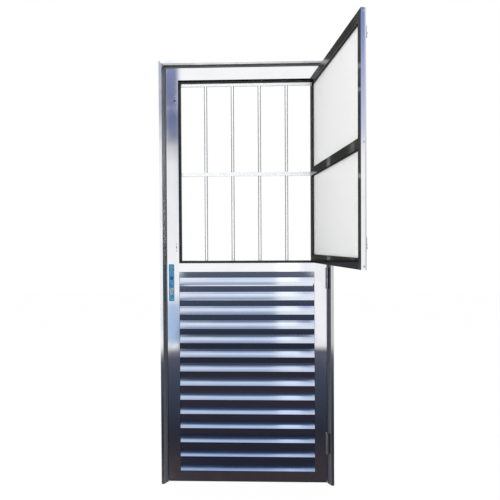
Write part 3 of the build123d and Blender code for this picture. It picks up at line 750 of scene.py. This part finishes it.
def add_piece(name: str, mesh: bpy.types.Mesh, finish: Finish, body: Body) -> bpy.types.Object:
    """Adds a fitting that rides on a body.

    Args:
        name: Name of the piece.
        mesh: Its mesh, in the part's frame.
        finish: Its finish.
        body: Body that it rides on.

    Returns:
        The new object.
    """
    mesh.materials.append(finish.material())
    made = bpy.data.objects.new(name, mesh)
    bpy.context.collection.objects.link(made)
    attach(made, body.value)
    LOG.info("added %s on %s", name, body.value)
    return made


FACING_ROOM = Matrix.Rotation(math.pi / 2, 4, "X")
BOTH_SIDES = (-1, 1)


def seat(*place: float) -> Matrix:
    """Gives the seat of a screw head that faces the room."""
    return Matrix.Translation(place) @ FACING_ROOM


@dataclass(frozen=True)
class PanHead:
    """Cross-recess screw head: radius, rise, rounding and recess arms, in metres."""

    radius: float
    rise: float = 0.0014
    rounding: float = 0.0005
    arm: float = 0.0021
    arm_half: float = 0.00048
    steps: int = 28
    bevel_steps: int = 2
    weld: float = 0.000001

    def outlines(self) -> tuple[list[Pair], list[Pair]]:
        """Draws the head.

        Returns:
            The rim's points and the cross recess's points.
        """
        inner = self.radius - self.rounding
        angles = [math.tau * k / self.steps for k in range(self.steps)]
        rim = [(inner * math.cos(angle), inner * math.sin(angle)) for angle in angles]
        corner = [(self.arm, -self.arm_half), (self.arm, self.arm_half), (self.arm_half, self.arm_half)]
        cross = []
        for quarter in range(4):
            turn = Matrix.Rotation(quarter * math.pi / 2, 2)
            cross += [tuple(turn @ Vector(point)) for point in corner]
        return rim, cross

    def template(self) -> bpy.types.Mesh:
        """Makes one head.

        Returns:
            Its mesh, centred on its own mid height and rising along Z.
        """
        curve = bpy.data.curves.new("pan_head", "CURVE")
        curve.dimensions = "2D"
        curve.fill_mode = "BOTH"
        curve.extrude = self.rise / 2 - self.rounding
        curve.bevel_depth = self.rounding
        curve.bevel_resolution = self.bevel_steps
        for outline in self.outlines():
            spline = curve.splines.new("POLY")
            spline.points.add(len(outline) - 1)
            for point, (across, up) in zip(spline.points, outline):
                point.co = (across, up, 0.0, 1.0)
            spline.use_cyclic_u = True
        holder = bpy.data.objects.new("pan_head", curve)
        mesh = bpy.data.meshes.new_from_object(holder)
        bpy.data.objects.remove(holder)
        bpy.data.curves.remove(curve)
        return mesh

    def place(self, name: str, body: Body, seats: Iterable[Matrix]) -> None:
        """Sets a group of heads on a body.

        Args:
            name: Name of the piece.
            body: Body that it rides on.
            seats: Where each head sits, with Z pointing out of the surface.
        """
        template = self.template()
        joined = bmesh.new()
        for spot in seats:
            head = template.copy()
            head.transform(spot @ Matrix.Translation((0.0, 0.0, self.rise / 2)))
            joined.from_mesh(head)
            bpy.data.meshes.remove(head)
        bmesh.ops.remove_doubles(joined, verts=joined.verts, dist=self.weld)
        mesh = bpy.data.meshes.new(name)
        joined.to_mesh(mesh)
        joined.free()
        bpy.data.meshes.remove(template)
        add_piece(name, mesh, STEEL, body)


class Assembly:
    """Base of the sub-assemblies: what is dressed, and what is built onto it."""

    def dress(self) -> None:
        """Finishes the solids; each sub-assembly has its own."""
        raise NotImplementedError

    def build(self) -> None:
        """Adds fittings; a plain sub-assembly has none."""


@dataclass
class FrameAssembly(Assembly):
    """Three-sided frame with its seals, corner keys and strike."""

    jambs: Names = ("frame_jamb_lock", "frame_jamb_hinge")
    head: str = "frame_head"

    def dress(self) -> None:
        """Finishes the extrusions along their length, and the small parts."""
        dress(JAMB_SATIN, *self.jambs)
        dress(HEAD_SATIN, self.head)
        dress(CAST, "frame_corner_keys")
        dress(RUBBER, "frame_seals")
        dress(STEEL, "strike_plate")


@dataclass
class HingeSet(Assembly):
    """Main and sash hinges."""

    main: Names = ("hinge_frame_plates", "hinge_leaf_plates", "hinge_pins")
    sash_plates: Names = ("sash_hinge_leaf_plates", "sash_hinge_sash_plates")
    head: PanHead = PanHead(radius=0.0032)
    plate: float = 0.0012
    half_width: float = 0.008
    half_height: float = 0.025
    screw_rise: float = 0.015

    def dress(self) -> None:
        """Finishes plates and pins."""
        dress(GREY_CAST, *self.main)
        dress(CAST, *self.sash_plates)
        dress(STEEL, "sash_hinge_pins")

    def build(self) -> None:
        """Sets two screw heads in each sash hinge plate on the leaf."""
        low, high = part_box("sash_hinge_leaf_plates")
        middles = (low.z + self.half_height, (low.z + high.z) / 2, high.z - self.half_height)
        across, front = high.x - self.half_width, high.y - self.plate
        self.head.place("sash_hinge_screws", Body.LEAF, [
            seat(across, front, middle + side * self.screw_rise) for middle in middles for side in BOTH_SIDES
        ])


@dataclass
class LeafAssembly(Assembly):
    """Leaf: stiles, rails, plank panel and the grille in its opening."""

    planks: list[str] = field(
        default_factory=lambda: sorted(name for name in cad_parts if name.startswith("plank_"))
    )

    def dress(self) -> None:
        """Finishes each profile along its own length."""
        dress(UPRIGHT_POLISH, "leaf_stile_lock", "leaf_stile_hinge")
        dress(BAR_SATIN, "grille_bars")
        dress(RAIL_POLISH, "leaf_top_rail", "leaf_mid_rail")
        dress(LEVEL_POLISH, "leaf_bottom_rail", "grille_frame")
        dress(CROSS_SATIN, "grille_cross_bar")
        dress(PLANK_POLISH, *self.planks)
        dress(RUBBER, "opening_gasket")
        dress(STEEL, "leaf_screws")


@dataclass
class HatchSash(Assembly):
    """Glazed sash that stands open, with its catches and their keepers."""

    keeper_head: PanHead = PanHead(radius=0.0028, rise=0.0012, arm=0.0018, arm_half=0.0004)
    keeper_plate: float = 0.0015
    keeper_half: float = 0.025
    keeper_screw: float = 0.017
    axis: Point = (0.3388, 0.0157, 0.0)
    rest_angle: float = 99.0
    base_head: PanHead = PanHead(radius=0.0021, rise=0.0009, rounding=0.0003, arm=0.0013, arm_half=0.0003)
    base_across: float = -0.3195
    base_front: float = 0.0136
    base_screw: float = 0.0123

    def dress(self) -> None:
        """Finishes profiles, glazing and catches."""
        dress(SASH_FREE_POLISH, "sash_stile_free")
        dress(SASH_HINGE_POLISH, "sash_stile_hinge")
        dress(SASH_TOP_POLISH, "sash_top_rail")
        dress(SASH_LEVEL_POLISH, "sash_mid_rail", "sash_bottom_rail")
        dress(GLASS, "sash_pane_upper", "sash_pane_lower")
        dress(RUBBER, "sash_gaskets")
        dress(STEEL, "sash_screws")
        dress(CAST, "catch_bases", "catch_lever_upper", "catch_lever_lower")
        dress(UPRIGHT_POLISH, "catch_keepers")

    def build(self) -> None:
        """Sets two screw heads in each catch keeper, and one in each catch base, clear of its lever."""
        low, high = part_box("catch_keepers")
        heights = (low.z + self.keeper_half, high.z - self.keeper_half)
        opened = (
            Matrix.Translation(self.axis)
            @ Matrix.Rotation(math.radians(self.rest_angle), 4, "Z")
            @ Matrix.Translation([-value for value in self.axis])
        )
        self.base_head.place("catch_base_screws", Body.SASH, [
            opened @ seat(self.base_across, self.base_front, height - self.base_screw) for height in heights
        ])
        across, front = (low.x + high.x) / 2, high.y - self.keeper_plate
        self.keeper_head.place("keeper_screws", Body.LEAF, [
            seat(across, front, height + side * self.keeper_screw)
            for height in heights
            for side in BOTH_SIDES
        ])


@dataclass
class Lock(Assembly):
    """Mortise lock with its plates, film and moving parts."""

    head: PanHead = PanHead(radius=0.0030, rise=0.0011)
    screw_inset: float = 0.0090
    spindle_height: float = 1.030
    hole: float = 0.0083
    rim: float = 0.0096
    sink: float = 0.0019
    lift: float = 0.00012
    thickness: float = 0.00015
    rings: int = 9
    spokes: int = 40
    puckers: tuple[tuple[float, int, float], ...] = ((0.16, 5, 1.1), (0.09, 8, 0.4))

    def dress(self) -> None:
        """Finishes plates, works and cylinder."""
        dress(LEVEL_POLISH, "lock_plate_room", "lock_plate_street")
        dress(FILM, "lock_plate_film")
        dress(STEEL, "lock_face_plate", "latch_bolt", "dead_bolt")
        dress(BLACKED, "lock_case", "spindle_follower")
        dress(NICKEL, "lock_cylinder", "cylinder_plug")

    def build(self) -> None:
        """Sets the plate's screw heads, and the film that sags into the spindle hole."""
        low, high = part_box("lock_plate_film")
        across = (low.x + high.x) / 2
        heights = (low.z + self.screw_inset, high.z - self.screw_inset)
        self.head.place("lock_plate_screws", Body.LEAF, [seat(across, low.y, height) for height in heights])
        self.sunk_film(across, high.y)

    def depth(self, reach: float, angle: float) -> float:
        """Tells how deep the sunk film lies.

        Args:
            reach: Distance from the hole's middle.
            angle: Direction from the hole's middle.

        Returns:
            Depth behind the plate's front face; on the rim the film stands proud by its lift.
        """
        share = min(reach / self.hole, 1.0)
        pucker = sum(size * math.sin(count * angle + phase) for size, count, phase in self.puckers)
        return self.sink * (1 - share * share) * (1 + pucker * share) - self.lift * (share >= 1.0)

    def sunk_film(self, across: float, front: float) -> None:
        """Makes the patch of film over the spindle hole, dished and puckered, in darker colours that paint
        the hole's shade.

        Args:
            across: The hole's X.
            front: The plate's front face, as Y.
        """
        points, faces = [(across, front + self.sink, self.spindle_height)], []
        for ring in range(1, self.rings + 1):
            reach = self.rim * ring / self.rings
            for spoke in range(self.spokes):
                angle = math.tau * spoke / self.spokes
                up = self.spindle_height + reach * math.sin(angle)
                points.append((across + reach * math.cos(angle), front + self.depth(reach, angle), up))
        for spoke in range(self.spokes):
            after = (spoke + 1) % self.spokes
            faces.append((0, 1 + spoke, 1 + after))
            for ring in range(self.rings - 1):
                inner, outer = 1 + ring * self.spokes, 1 + (ring + 1) * self.spokes
                faces.append((inner + spoke, outer + spoke, outer + after, inner + after))
        mesh = bpy.data.meshes.new("film_over_spindle_hole")
        mesh.from_pydata(points, [], faces)
        mesh.shade_smooth()
        patch = add_piece("film_over_spindle_hole", mesh, HOLE_SHADE_FILM, Body.LEAF)
        skin = patch.modifiers.new("film_thickness", "SOLIDIFY")
        skin.thickness = self.thickness
        skin.offset = 0.0


@dataclass(frozen=True)
class SkyZone:
    """Upright strip of the dome: compass share where it starts, and colours by elevation in degrees."""

    start: float
    stops: tuple[tuple[float, Colour], ...]

    def colours(self, graph: Graph, height: Socket) -> Socket:
        """Grades the strip.

        Args:
            graph: The dome's node tree.
            height: Elevation from 0 at the foot to 1 overhead.

        Returns:
            The colour socket.
        """
        return graph.ramp(height, [((angle + 90.0) / 180.0, colour) for angle, colour in self.stops])


PALE = (0.97, 0.97, 0.98)
DUSK = (0.105, 0.105, 0.148)
DEEP_BLUE = (0.36, 0.50, 0.78)
GROUND = (
    (-90.0, (0.042, 0.036, 0.046)),
    (-40.0, (0.042, 0.036, 0.046)),
    (-31.0, (0.048, 0.038, 0.046)),
    (-26.0, (0.053, 0.040, 0.045)),
    (-22.7, (0.024, 0.028, 0.042)),
    (-16.0, (0.055, 0.068, 0.105)),
)
LIP_GROUND = GROUND + ((-14.0, (0.09, 0.09, 0.12)),)
OPEN_GROUND = GROUND + ((-13.2, DUSK), (-12.6, PALE))
HIGH_BLUE = ((44.0, (0.62, 0.74, 0.93)), (68.0, (0.42, 0.56, 0.84)), (90.0, DEEP_BLUE))
HIGH_MIDDLE = (
    (10.0, (0.42, 0.47, 0.59)), (15.6, (0.32, 0.37, 0.49)), (17.6, PALE), (30.0, PALE)
) + HIGH_BLUE
STUDIO = (
    (-90.0, (0.26, 0.26, 0.27)),
    (-40.0, (0.30, 0.30, 0.32)),
    (-14.0, (0.46, 0.47, 0.50)),
    (-6.0, (0.78, 0.79, 0.82)),
    (3.0, PALE),
    (34.0, PALE),
    (56.0, (0.70, 0.76, 0.88)),
    (90.0, (0.56, 0.64, 0.82)),
)
SIDE_SKY = SkyZone(-1.0, STUDIO)
SHADED_SKY = SkyZone(-0.53, GROUND + (
    (-9.0, (0.10, 0.10, 0.11)),
    (10.0, (0.13, 0.13, 0.14)),
    (40.0, (0.07, 0.07, 0.08)),
    (90.0, DEEP_BLUE),
))
OPEN_SKY = SkyZone(-0.36, STUDIO)
LIP_SKY = SkyZone(-0.27, LIP_GROUND + (
    (-12.6, PALE),
    (13.0, PALE),
    (17.0, (0.58, 0.60, 0.66)),
    (20.8, (0.56, 0.58, 0.66)),
    (22.0, (0.52, 0.60, 0.84)),
    (90.0, DEEP_BLUE),
))
LEFT_SKY = SkyZone(-0.2145, GROUND + (
    (-13.4, DUSK),
    (-13.0, PALE),
    (-12.5, PALE),
    (-12.2, (0.39, 0.54, 0.77)),
    (-7.4, (0.42, 0.56, 0.78)),
    (-6.8, PALE),
    (3.0, PALE),
    (9.8, (0.88, 0.88, 0.90)),
    (12.4, (0.60, 0.61, 0.64)),
    (12.9, (0.14, 0.16, 0.25)),
    (14.3, (0.18, 0.23, 0.36)),
    (15.6, (0.13, 0.15, 0.31)),
    (21.4, (0.24, 0.28, 0.44)),
    (90.0, (0.34, 0.46, 0.72)),
))
NEAR_LEFT_SKY = SkyZone(-0.184, GROUND + (
    (-12.5, (0.100, 0.120, 0.160)),
    (-10.4, (0.165, 0.185, 0.240)),
    (-8.6, (0.52, 0.57, 0.69)),
    (-5.0, (0.84, 0.88, 0.96)),
    (-3.6, PALE),
    (-1.0, (0.93, 0.95, 0.98)),
    (4.0, (0.76, 0.80, 0.88)),
) + HIGH_MIDDLE)
MIDDLE_SKY = SkyZone(-0.114, GROUND + (
    (-12.5, (0.100, 0.120, 0.160)),
    (-10.4, (0.155, 0.175, 0.230)),
    (-8.6, (0.37, 0.44, 0.62)),
    (-5.0, (0.66, 0.74, 0.92)),
    (-4.0, (0.74, 0.81, 0.95)),
    (-3.6, PALE),
    (-1.0, (0.90, 0.93, 0.98)),
    (4.0, (0.72, 0.77, 0.87)),
) + HIGH_MIDDLE)
BRIGHT_SKY = SkyZone(0.03, GROUND + (
    (-11.0, (0.16, 0.17, 0.22)),
    (-9.0, (1.05, 1.08, 1.15)),
    (-6.0, (1.30, 1.30, 1.32)),
    (2.0, (1.20, 1.20, 1.22)),
    (8.0, PALE),
    (62.0, PALE),
    (90.0, (0.60, 0.72, 0.92)),
))
BLUE_SKY = SkyZone(0.078, GROUND + (
    (-11.0, (0.14, 0.15, 0.21)),
    (-8.6, (0.42, 0.50, 0.72)),
    (-4.0, (0.82, 0.87, 0.97)),
    (4.0, PALE),
    (24.0, PALE),
) + HIGH_BLUE)
RIGHT_SKY = SkyZone(0.108, OPEN_GROUND + ((24.0, PALE),) + HIGH_BLUE)
RIGHT_LIP_SKY = SkyZone(
    0.1445, LIP_GROUND + ((-12.6, (0.50, 0.50, 0.51)), (24.0, (0.60, 0.60, 0.62))) + HIGH_BLUE
)
FAR_SKY = SkyZone(0.33, OPEN_GROUND + (
    (11.0, PALE),
    (13.5, (0.62, 0.64, 0.84)),
    (20.0, (0.44, 0.45, 0.73)),
    (26.0, (0.22, 0.29, 0.58)),
    (90.0, DEEP_BLUE),
))
EDGE_SKY = SkyZone(0.62, STUDIO)


@dataclass(frozen=True)
class Lamp:
    """Soft square lamp aimed at the door's middle: where it hangs, its side in metres and its watts."""

    name: str
    place: Point
    size: float
    power: float
    target: Point = (0.0, 0.0, 1.05)

    def build(self) -> None:
        """Hangs the lamp, which lights the door without showing in reflections."""
        data = bpy.data.lights.new(self.name, "AREA")
        data.energy = self.power
        data.size = self.size
        lamp = bpy.data.objects.new(self.name, data)
        bpy.context.collection.objects.link(lamp)
        lamp.location = self.place
        lamp.rotation_euler = (Vector(self.target) - Vector(self.place)).to_track_quat("-Z", "Y").to_euler()
        lamp.visible_glossy = False


@dataclass
class Studio:
    """Pale floor, soft dome and lamps, dark flag and the camera."""

    floor_half: float = 9.0
    floor_tone: Colour = (0.86, 0.86, 0.86)
    floor_glow: float = 0.97
    flag_across: Pair = (-1.75, -0.62)
    flag_place: float = 2.5
    flag_rise: Pair = (0.4, 4.6)
    flag_tone: Colour = (0.085, 0.088, 0.078)
    lens_px: float = 449.23
    frame_px: float = 500.0
    sensor: float = 36.0
    clip: float = 0.02
    eye: Point = (0.08328, -2.22008, 1.20078)
    turn: float = 1.6712
    tilt: float = -0.7949
    roll: float = -0.3002
    zones: tuple[SkyZone, ...] = (
        SIDE_SKY, SHADED_SKY, OPEN_SKY, LIP_SKY, LEFT_SKY, NEAR_LEFT_SKY, MIDDLE_SKY, BRIGHT_SKY, BLUE_SKY,
        RIGHT_SKY, RIGHT_LIP_SKY, FAR_SKY, EDGE_SKY
    )
    zone_blur: float = 0.004
    rear_blur: float = 0.05
    side_shade: Pair = (0.84, 0.93)
    side_depth: float = 0.72
    soft_level: float = 0.92
    lamps: tuple[Lamp, ...] = (
        Lamp("lamp_key", (-1.6, -2.4, 3.4), 2.2, 45.0),
        Lamp("lamp_fill", (2.2, -1.8, 2.6), 2.0, 18.0),
        Lamp("lamp_rear", (-0.6, 2.6, 3.2), 2.2, 22.0),
    )

    @staticmethod
    def sheet(name: str, corners: list[Point]) -> tuple[bpy.types.Object, Graph]:
        """Adds a flat sheet with an empty material.

        Args:
            name: Name of the sheet and its material.
            corners: Its four corners.

        Returns:
            The sheet and its material's graph.
        """
        mesh = bpy.data.meshes.new(name)
        mesh.from_pydata(corners, [], [(0, 1, 2, 3)])
        made = bpy.data.objects.new(name, mesh)
        bpy.context.collection.objects.link(made)
        material = bpy.data.materials.new(name)
        mesh.materials.append(material)
        return made, bare_graph(material)

    @staticmethod
    def seen_straight(graph: Graph) -> Socket:
        """Gives 1 for what the camera sees, itself or through glass."""
        paths = graph.node("ShaderNodeLightPath").outputs
        return graph.math("MAXIMUM", paths["Is Camera Ray"], paths["Is Transmission Ray"])

    def floor(self) -> None:
        """Pale floor that shows near white to the camera and keeps a faint shadow."""
        half = self.floor_half
        floor, graph = self.sheet(
            "studio_floor", [(-half, -half, 0), (half, -half, 0), (half, half, 0), (-half, half, 0)]
        )
        matte = graph.node("ShaderNodeBsdfDiffuse", Color=(*self.floor_tone, 1.0))
        glow = graph.node("ShaderNodeEmission", Color=WHITE, Strength=1.0)
        mix = graph.node("ShaderNodeMixShader")
        output = graph.node("ShaderNodeOutputMaterial")
        graph.link(graph.math("MULTIPLY", self.seen_straight(graph), self.floor_glow), mix.inputs["Fac"])
        graph.link(matte.outputs["BSDF"], mix.inputs[1])
        graph.link(glow.outputs["Emission"], mix.inputs[2])
        graph.link(mix.outputs["Shader"], output.inputs["Surface"])
        floor.visible_glossy = False

    def sky(self, graph: Graph) -> bpy.types.Node:
        """Grades the dome that polished metal mirrors, in upright zones in front and plain behind.

        Args:
            graph: The dome's node tree.

        Returns:
            The graded background.
        """
        way = graph.axes(graph.node("ShaderNodeTexCoord").outputs["Generated"])
        across, deep = way["X"], way["Y"]
        height = graph.span(graph.math("ARCSINE", way["Z"]), 0.0, 1.0, -math.pi / 2, math.pi / 2)
        level = graph.math("MULTIPLY_ADD", across, across, graph.math("MULTIPLY", deep, deep))
        compass = graph.math("DIVIDE", across, graph.math("SQRT", level))
        first, *others = self.zones
        tone = first.colours(graph, height)
        for zone in others:
            share = graph.span(compass, 0.0, 1.0, zone.start - self.zone_blur, zone.start + self.zone_blur)
            tone = graph.blend(share, tone, zone.colours(graph, height))
        behind = graph.span(deep, 0.0, 1.0, -self.rear_blur, self.rear_blur)
        tone = graph.blend(behind, tone, SIDE_SKY.colours(graph, height))
        shade = graph.span(graph.math("ABSOLUTE", across), 1.0, 1.0 - self.side_depth, *self.side_shade)
        graded = graph.node("ShaderNodeBackground")
        graph.link(tone, graded.inputs["Color"])
        graph.link(shade, graded.inputs["Strength"])
        return graded

    def light(self) -> None:
        """Dome: white to the camera and through glass, graded in reflections, plain for soft light."""
        world = bpy.data.worlds.new("studio_dome")
        bpy.context.scene.world = world
        graph = bare_graph(world)
        graded = self.sky(graph)
        plain = graph.node("ShaderNodeBackground", Color=WHITE, Strength=self.soft_level)
        white = graph.node("ShaderNodeBackground", Color=WHITE, Strength=1.0)
        shiny = graph.node("ShaderNodeMixShader")
        seen = graph.node("ShaderNodeMixShader")
        output = graph.node("ShaderNodeOutputWorld")
        graph.link(graph.node("ShaderNodeLightPath").outputs["Is Glossy Ray"], shiny.inputs["Fac"])
        graph.link(plain.outputs[0], shiny.inputs[1])
        graph.link(graded.outputs[0], shiny.inputs[2])
        graph.link(self.seen_straight(graph), seen.inputs["Fac"])
        graph.link(shiny.outputs[0], seen.inputs[1])
        graph.link(white.outputs[0], seen.inputs[2])
        graph.link(seen.outputs[0], output.inputs["Surface"])
        for lamp in self.lamps:
            lamp.build()

    def flag(self) -> None:
        """Dark flag beyond the opening, which only reflections see."""
        (left, right), deep, (foot, top) = self.flag_across, self.flag_place, self.flag_rise
        flag, graph = self.sheet(
            "dark_flag", [(left, deep, foot), (right, deep, foot), (right, deep, top), (left, deep, top)]
        )
        cloth = graph.node("ShaderNodeBsdfDiffuse", Color=(*self.flag_tone, 1.0))
        output = graph.node("ShaderNodeOutputMaterial")
        graph.link(cloth.outputs["BSDF"], output.inputs["Surface"])
        flag.visible_camera = False
        flag.visible_diffuse = False
        flag.visible_transmission = False
        flag.visible_shadow = False

    def camera(self) -> None:
        """Camera where the photograph was taken from."""
        data = bpy.data.cameras.new("viewer")
        data.sensor_width = self.sensor
        data.sensor_fit = "HORIZONTAL"
        data.lens = self.lens_px * self.sensor / self.frame_px
        data.clip_start = self.clip
        camera = bpy.data.objects.new("viewer", data)
        bpy.context.collection.objects.link(camera)
        aim = (
            Matrix.Rotation(math.radians(self.turn), 4, "Z")
            @ Matrix.Rotation(math.radians(90.0 + self.tilt), 4, "X")
            @ Matrix.Rotation(math.radians(self.roll), 4, "Z")
        )
        camera.matrix_world = Matrix.Translation(self.eye) @ aim
        bpy.context.scene.camera = camera

    def build(self) -> None:
        """Sets up the stage."""
        bpy.context.scene.view_settings.view_transform = "Standard"
        self.floor()
        self.light()
        self.flag()
        self.camera()


def write_sizes() -> None:
    """Updates the view layer."""
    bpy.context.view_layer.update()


def main() -> None:
    """Dresses each sub-assembly, adds its fittings, then sets up the stage."""
    logging.basicConfig(level=logging.INFO, format="%(name)s: %(message)s")
    parts = (FrameAssembly(), HingeSet(), LeafAssembly(), HatchSash(), Lock())
    for part in parts:
        part.dress()
    for part in parts:
        part.build()
    Studio().build()
    write_sizes()


if __name__ == "__main__":
    main()
